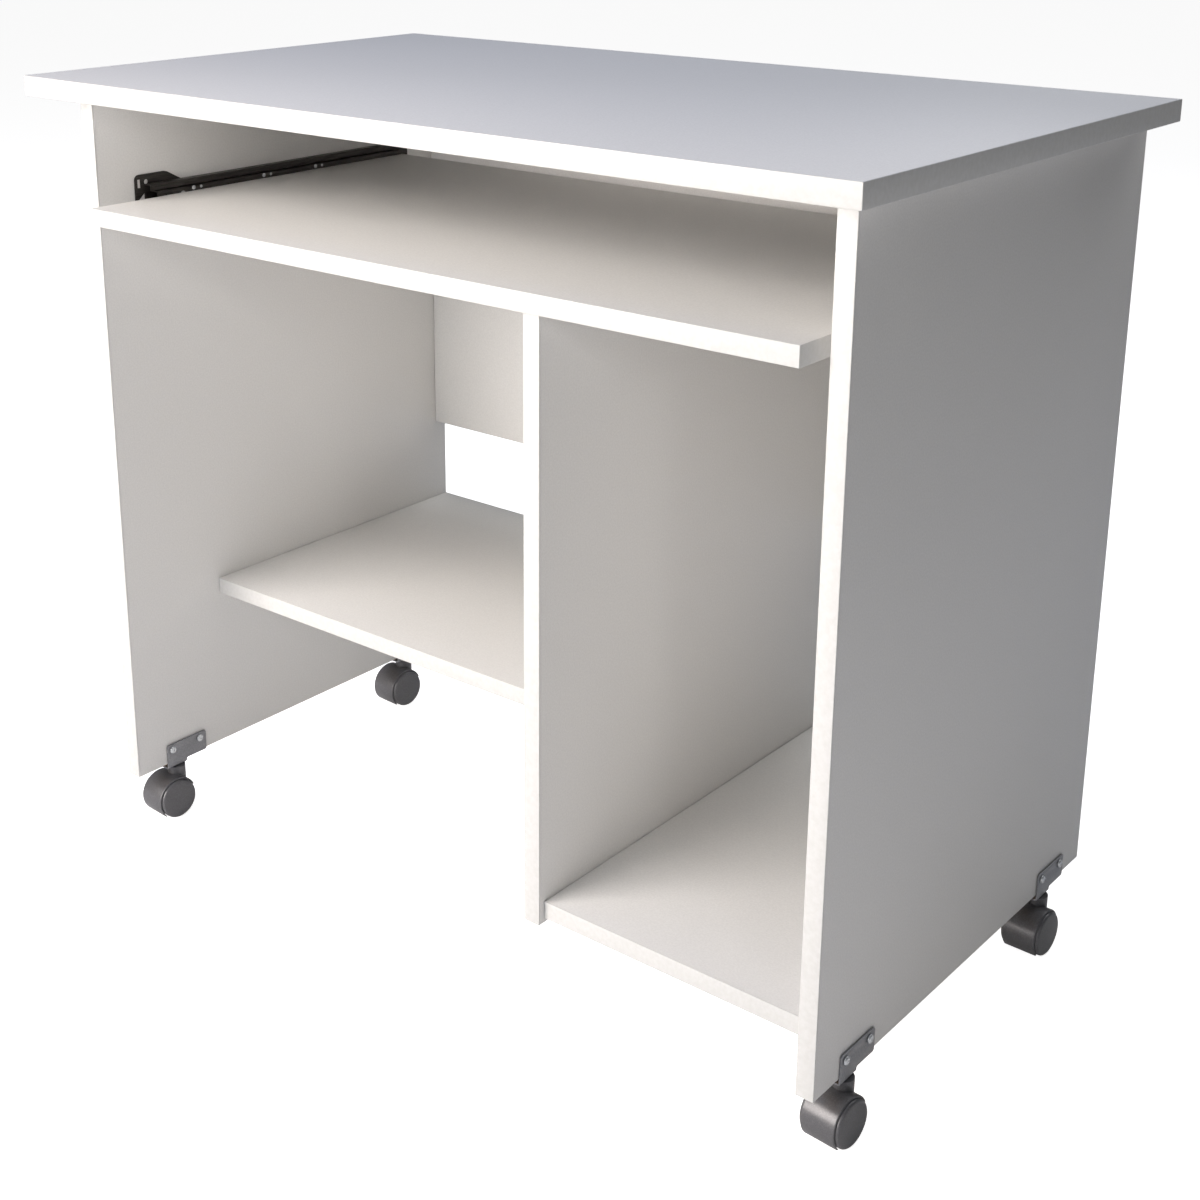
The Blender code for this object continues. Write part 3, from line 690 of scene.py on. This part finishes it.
def screw(head, recess_deep):
    """A screw along X, with its tip at -X and the underside of its head at x = 0."""
    tip = [(-SHANK_LONG, 0), (-SHANK_LONG + 2 * MM, SHANK_R), (0, SHANK_R)]
    shape = turned([*tip, *head], 32)
    top = head[-1][0]
    for long_y, long_z in ((1.3 * MM, 0.35 * MM), (0.35 * MM, 1.3 * MM)):
        slot = bmesh.new()
        low, high = (top - recess_deep, -long_y, -long_z), (top + 1 * MM, long_y, long_z)
        corners = add_box(slot, low, high)
        floor = [corner for corner in corners if corner.co.x < top]
        bmesh.ops.scale(slot, vec=(1, 0.55, 0.55), verts=floor)
        shape = combine(shape, slot, "DIFFERENCE")
    return shape


def place_screw(node, head, recess_deep, body, towards):
    """Puts a screw where its CAD node is. towards is +1 where its head faces +X."""
    low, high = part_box(node)
    shape = screw(head, recess_deep)
    turn = Matrix.Rotation(0 if towards > 0 else math.pi, 4, "Z")
    shaft_end = low.x + SHANK_LONG if towards > 0 else high.x - SHANK_LONG
    middle = (shaft_end, (low.y + high.y) / 2, (low.z + high.z) / 2)
    shape.transform(Matrix.Translation(middle) @ turn)
    place(shape, node + "_driven", [ZINC], body, "zinc_steel", [node])


flat_head = [(0, FLAT_HEAD_R - 0.2 * MM), (0.2 * MM, FLAT_HEAD_R), (0.6 * MM, FLAT_HEAD_R)]
flat_head += [(0.85 * MM, FLAT_HEAD_R - 0.3 * MM), (0.85 * MM, 0)]
for side, sign in SIDES:
    for index in (1, 2):
        place_screw(f"rail_screw_{side}_{index}", flat_head, 0.6 * MM, "desk", -sign)
    place_screw(f"shelf_screw_{side}", flat_head, 0.6 * MM, "drawer", sign)

PAN_R, PAN_HIGH = 3.8 * MM, 2.3 * MM
pan_head = [(0, PAN_R - 0.2 * MM), (0.2 * MM, PAN_R), (0.7 * MM, PAN_R)]
for step in range(1, 7):
    angle = math.radians(15 * step)
    height = 0.7 * MM + (PAN_HIGH - 0.7 * MM) * math.sin(angle)
    pan_head.append((height, PAN_R * math.cos(angle) if step < 6 else 0))
for castor in CASTORS:
    for index in (1, 2):
        place_screw(f"bracket_screw_{castor}_{index}", pan_head, 0.9 * MM, "desk", 1)

# %% [markdown]
# ## Brackets
#
# Each castor hangs on a small pressed bracket: a plate screwed to the face of the side panel, with a tongue
# that drops below the panel and folds under it to hold the castor's pin. It is sheet metal again, so it is
# drawn as two flat faces that share the fold. Bevelling single vertices rounds the plate's corners,
# bevelling the shared edge makes the bend, and the thickness, the holes and the soft edges follow.

# %% Brackets
STEEL, BEND_R = 1.6 * MM, 1.6 * MM
STRIP_LOW = 54.6 * MM  # height of the strip's lower edge from the floor
TONGUE_TO = 9.5 * MM  # how far the tongue runs past the pin, along Y
FLANGE_REACH = 9 * MM  # how far the flange runs past the pin, along X
PIN_R = 3 * MM


def pin_place(castor):
    low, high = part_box(f"castor_pin_{castor}")
    return (low + high) / 2


def bracket(castor):
    node = f"bracket_{castor}"
    low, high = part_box(node)
    pin = pin_place(castor)
    x, z = high.x - STEEL / 2, low.z + STEEL / 2
    near, far, end = low.y, pin.y + TONGUE_TO, high.y
    shape = bmesh.new()
    outline = [(far, z), (far, STRIP_LOW), (end, STRIP_LOW), (end, high.z), (near, high.z), (near, z)]
    plate = [shape.verts.new((x, y, height)) for y, height in outline]
    shape.faces.new(plate)
    under = [shape.verts.new((pin.x - FLANGE_REACH, y, z)) for y in (near, far)]
    shape.faces.new([plate[0], plate[5], under[0], under[1]])
    rounding = [(plate[1], 1.5 * MM), (plate[2], 2 * MM), (plate[3], 2.5 * MM), (plate[4], 2.5 * MM)]
    rounding += [(corner, 3 * MM) for corner in under]
    for corner, radius in rounding:
        round_off(shape, [corner], radius, 5, affect="VERTICES")
    bend = [edge for edge in shape.edges if len(edge.link_faces) == 2]
    round_off(shape, bend, BEND_R, 5)
    shape = run_modifier(shape, "SOLIDIFY", thickness=STEEL, offset=0, use_even_offset=True)
    holes = bmesh.new()
    add_cylinder(holes, (pin.x, pin.y, z), PIN_R + 0.2 * MM, 3 * STEEL, "Z")
    for index in (1, 2):
        screw_low, screw_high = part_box(f"bracket_screw_{castor}_{index}")
        middle = (x, (screw_low.y + screw_high.y) / 2, (screw_low.z + screw_high.z) / 2)
        add_cylinder(holes, middle, SHANK_R + 0.3 * MM, 3 * STEEL, "X")
    shape = soften(combine(shape, holes, "DIFFERENCE"), 0.3 * MM)
    return place(shape, node + "_pressed", [PAINTED_STEEL], "desk", "bracket_steel", [node])


brackets = [bracket(castor) for castor in CASTORS]
print("bracket faces:", [len(piece.data.polygons) for piece in brackets])

# %% [markdown]
# ## Castors
#
# A twin-wheel castor has one moulded housing: a hood that wraps both wheels, a web between them, and a
# tower that turns on the pin. It trails behind the pin, so the wheels follow where the desk is pushed.
#
# The hood's section is one closed face with rounded outer corners. Spinning that face part of the way
# round the axle sweeps a solid drum. The tower is turned about the pin and joined to it, and then the room
# for the two wheels is cut out, which leaves the thin hood and the web between them.

# %% Castor housing
WHEEL_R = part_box("castor_wheel_front_left_outer")[1].z / 2
TRAIL = 10.5 * MM
HOOD_R, HOOD_WALL, HOOD_HALF = 22 * MM, 1.3 * MM, 15.6 * MM
WEB_HALF, BOSS_R = 5.2 * MM, 6.5 * MM
AXLE_R, RUNNING_FIT = 2.5 * MM, 0.05 * MM
TOWER_R, TOWER_TOP, TOWER_FOOT = 9 * MM, 49.7 * MM, 31 * MM
HOOD_FROM, HOOD_SWEEP = math.radians(25), math.radians(200)
HUB = Vector((0, -TRAIL, WHEEL_R))


def swept(outline, steps):
    """Sweeps a closed face, drawn at HOOD_FROM as (x, radius), round the axle by HOOD_SWEEP."""
    shape = bmesh.new()
    out = Vector((0, math.cos(HOOD_FROM), math.sin(HOOD_FROM)))
    corners = [shape.verts.new(HUB + Vector((x, 0, 0)) + out * r) for x, r in outline]
    face = shape.faces.new(corners)
    bmesh.ops.spin(
        shape, geom=[face], cent=HUB, axis=(1, 0, 0), angle=HOOD_SWEEP, steps=steps, use_merge=False
    )
    return shape


def housing_shape():
    rim = 1.1 * MM
    right = arc((HOOD_HALF - rim, HOOD_R - rim), rim, 0, 90)
    left = [(-x, r) for x, r in reversed(right)]
    shape = swept([(HOOD_HALF, 0.5 * MM), *right, *left, (-HOOD_HALF, 0.5 * MM)], 48)
    boss = bmesh.new()
    add_cylinder(boss, HUB, BOSS_R, 2 * (WEB_HALF - 0.1 * MM), "X", 40)
    shape = combine(shape, boss, "UNION")
    profile = [(TOWER_FOOT, 0), (TOWER_FOOT, TOWER_R), (TOWER_TOP - 0.5 * MM, TOWER_R)]
    profile += [(TOWER_TOP, TOWER_R - 0.5 * MM), (TOWER_TOP, 0)]
    return combine(shape, turned(profile, 48, "Z"), "UNION")


def hollow(shape):
    """Clears the room for the wheels, and bores the holes for the axle and the pin."""
    room = bmesh.new()
    for sign in (-1, 1):
        centre = HUB + Vector((sign * (WEB_HALF + 12 * MM), 0, 0))
        add_cylinder(room, centre, HOOD_R - HOOD_WALL, 24 * MM, "X", 96)
    shape = combine(shape, room, "DIFFERENCE")
    bores = bmesh.new()
    add_cylinder(bores, HUB, AXLE_R + RUNNING_FIT, 4 * WEB_HALF, "X", 32)
    add_cylinder(bores, (0, 0, 39.5 * MM), PIN_R + RUNNING_FIT, 22 * MM, "Z", 32)
    return combine(shape, bores, "DIFFERENCE")


# %% [markdown]
# A wheel is a moulded drum. Its tread is flat, a wide shoulder leads over to its outer face, and that face
# is a shallow dome. It stands a little out of the hood, and the shadow in the gap draws the dark ring that
# makes these castors easy to recognise. The whole of it is one profile, spun about the axle.

# %% Castor wheel
WHEEL_IN, WHEEL_OUT = 5.7 * MM, 19 * MM
AXLE_HALF = 13.5 * MM


def wheel_shape():
    r, shoulder = WHEEL_R, 2.4 * MM
    bore_end = AXLE_HALF + 0.4 * MM
    edge = WHEEL_OUT - 0.7 * MM
    profile = [(bore_end, 0), (bore_end, AXLE_R + RUNNING_FIT), (WHEEL_IN, AXLE_R + RUNNING_FIT)]
    profile += arc((WHEEL_IN + 1 * MM, r - 1 * MM), 1 * MM, 180, 90)
    profile += arc((edge - shoulder, r - shoulder), shoulder, 90, 6, 7)
    steps = 8
    for step in range(1, steps + 1):
        share = step / steps
        rise = (WHEEL_OUT - edge) * math.sin(math.pi / 2 * share)
        profile.append((edge + rise, (r - shoulder) * (1 - share)))
    return turned(profile, 96)


# %% [markdown]
# Each castor is put in its place with one matrix: the pin's position, and the angle at which it stands,
# which the direction of its wheels' axle gives. The pin has a domed, riveted head above the bracket.


# %% Assemble the castors
def pin_shape(castor):
    low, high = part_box(f"castor_pin_{castor}")
    head_low, head_r = high.z - 1.8 * MM, (high.x - low.x) / 2
    profile = [(low.z, 0), (low.z, PIN_R - 0.5 * MM), (low.z + 0.5 * MM, PIN_R), (head_low, PIN_R)]
    profile += [(head_low, head_r), (head_low + 0.5 * MM, head_r)]
    for step in range(1, 6):
        angle = math.radians(18 * step)
        height = head_low + 0.5 * MM + 1.3 * MM * math.sin(angle)
        profile.append((height, head_r * math.cos(angle) if step < 5 else 0))
    return turned(profile, 32, "Z")


def axle_shape():
    tip = 0.4 * MM
    half = [(AXLE_HALF - tip, AXLE_R), (AXLE_HALF, AXLE_R - tip), (AXLE_HALF, 0)]
    return turned([(-x, r) for x, r in reversed(half)] + half, 32)


def assemble_castor(castor):
    pin = pin_place(castor)
    axle = joints[f"roll_{castor}_outer"]["axis"]
    stand = Matrix.Translation((pin.x, pin.y, 0)) @ Matrix.Rotation(math.atan2(axle[1], axle[0]), 4, "Z")
    hub = stand @ Matrix.Translation(HUB)
    pieces = [
        (hollow(housing_shape()), f"castor_housing_{castor}", f"castor_{castor}", stand, FLAKE_PLASTIC),
        (axle_shape(), f"castor_axle_{castor}", f"castor_{castor}", hub, ZINC),
        (pin_shape(castor), f"castor_pin_{castor}", "desk", Matrix.Translation((pin.x, pin.y, 0)), ZINC),
    ]
    for side, turn in (("outer", 0), ("inner", math.pi)):
        matrix = hub @ Matrix.Rotation(turn, 4, "Z")
        node = f"castor_wheel_{castor}_{side}"
        pieces.append((wheel_shape(), node, f"wheel_{castor}_{side}", matrix, FLAKE_PLASTIC))
    for shape, node, body, matrix, look in pieces:
        shape.transform(matrix)
        slot = "castor_plastic" if look is FLAKE_PLASTIC else "zinc_steel"
        place(shape, node + "_made", [look], body, slot, [node])


for castor in CASTORS:
    assemble_castor(castor)
print("castors:", len(CASTORS))

# %% [markdown]
# ## Floor, lights and camera
#
# A white object needs a pale stage and soft, uneven light. If all sides were lit alike, its edges would
# vanish. The key light is a large panel in front and to the left, so the front edges are the brightest, and
# what it sends between the boards comes back as soft light inside. A bluish panel above and one behind light
# the top, which is a step darker. The right-hand side lies in shade, and a small light there puts a glint on
# the screws. The world adds very little. To the lens alone, the world is white and the floor nearly so.


# %% Stage
AMBIENT = 0.07  # strength of the light from the world
FLOOR_LIFT = 0.88  # what the lens sees of the floor on top of its own light


def floor_paint():
    made, tree, shader, place = new_material("floor_matt_paint", {"Roughness": 0.8})
    seen = add(tree, "LightPath", {}, {}).outputs["Is Camera Ray"]
    lift = add(tree, "MapRange", {}, {"Value": seen, "To Min": 0.0, "To Max": FLOOR_LIFT})
    shader.inputs["Emission Color"].default_value = linear("#FFFFFF")
    tree.links.new(lift.outputs["Result"], shader.inputs["Emission Strength"])
    speck = add(tree, "TexNoise", {}, {"Vector": place, "Scale": per_metre(5)})
    whites = ramp(tree, speck.outputs["Fac"], [(0.3, "#F4F4F4"), (0.7, "#F8F8F8")])
    tree.links.new(whites, shader.inputs["Base Color"])
    return made


def soft_panel(name, where, target, size, watts, colour):
    """A square area light that faces a point."""
    light = bpy.data.lights.new(name, "AREA")
    light.size, light.energy, light.color = size, watts, linear(colour)[:3]
    lamp = link(name, light)
    lamp.location = where
    lamp.rotation_euler = (Vector(target) - Vector(where)).to_track_quat("-Z", "Y").to_euler()
    return lamp


floor_shape = bmesh.new()
bmesh.ops.create_grid(floor_shape, x_segments=1, y_segments=1, size=30)
floor_mesh = mesh_from(floor_shape, "floor")
floor_mesh.materials.append(floor_paint())
floor = link("floor", floor_mesh)
floor.location.z = -0.2 * MM

middle = (Vector(cad_box[0]) + Vector(cad_box[1])) / 2
lights = (  # name, place, size, watts and colour
    ("key_front", (-1.1, -2.5, 1.25), 1.7, 93, "#FFF7F0"),
    ("fill_front", (0.3, -2.8, 1.0), 1.5, 17, "#FFFFFF"),
    ("fill_top", (-0.6, -0.4, 3.0), 2.2, 19, "#B7CDFF"),
    ("rim_back", (0.2, 1.8, 2.4), 2.0, 27, "#FFFFFF"),
    ("glint_right", (2.4, -1.6, 1.4), 0.25, 4, "#FFFFFF"),
)
for name, where, size, watts, colour in lights:
    soft_panel(name, where, middle, size, watts, colour)


def pale_world():
    """What the lens sees behind the desk is white, but the light that comes from there is dimmer."""
    made = bpy.data.worlds.new("pale_world")
    made.use_nodes = True
    tree = made.node_tree
    seen = add(tree, "LightPath", {}, {}).outputs["Is Camera Ray"]
    background = tree.nodes["Background"]
    strength = add(tree, "MapRange", {}, {"Value": seen, "To Min": AMBIENT, "To Max": 1.0})
    tree.links.new(strength.outputs["Result"], background.inputs["Strength"])
    background.inputs["Color"].default_value = linear("#FFFFFF")
    return made


scene = bpy.context.scene
scene.world = pale_world()
scene.view_settings.view_transform = "Standard"

# %% [markdown]
# The camera stands to the right of the desk and a little above it. It looks only slightly down and
# is shifted, as a view camera is, so that the uprights stay nearly upright.

# %% Camera
YAW, PITCH = 39.83, -17.23  # degrees
camera = bpy.data.cameras.new("camera")
camera.lens, camera.sensor_width = 55.63, 36
camera.shift_x, camera.shift_y = 0.05, -0.15
camera.clip_end = 100
viewer = link("camera", camera)
viewer.location = (0.9882, -1.2307, 0.9447)
viewer.rotation_euler = (math.radians(90 + PITCH), 0, math.radians(YAW))
scene.camera = viewer
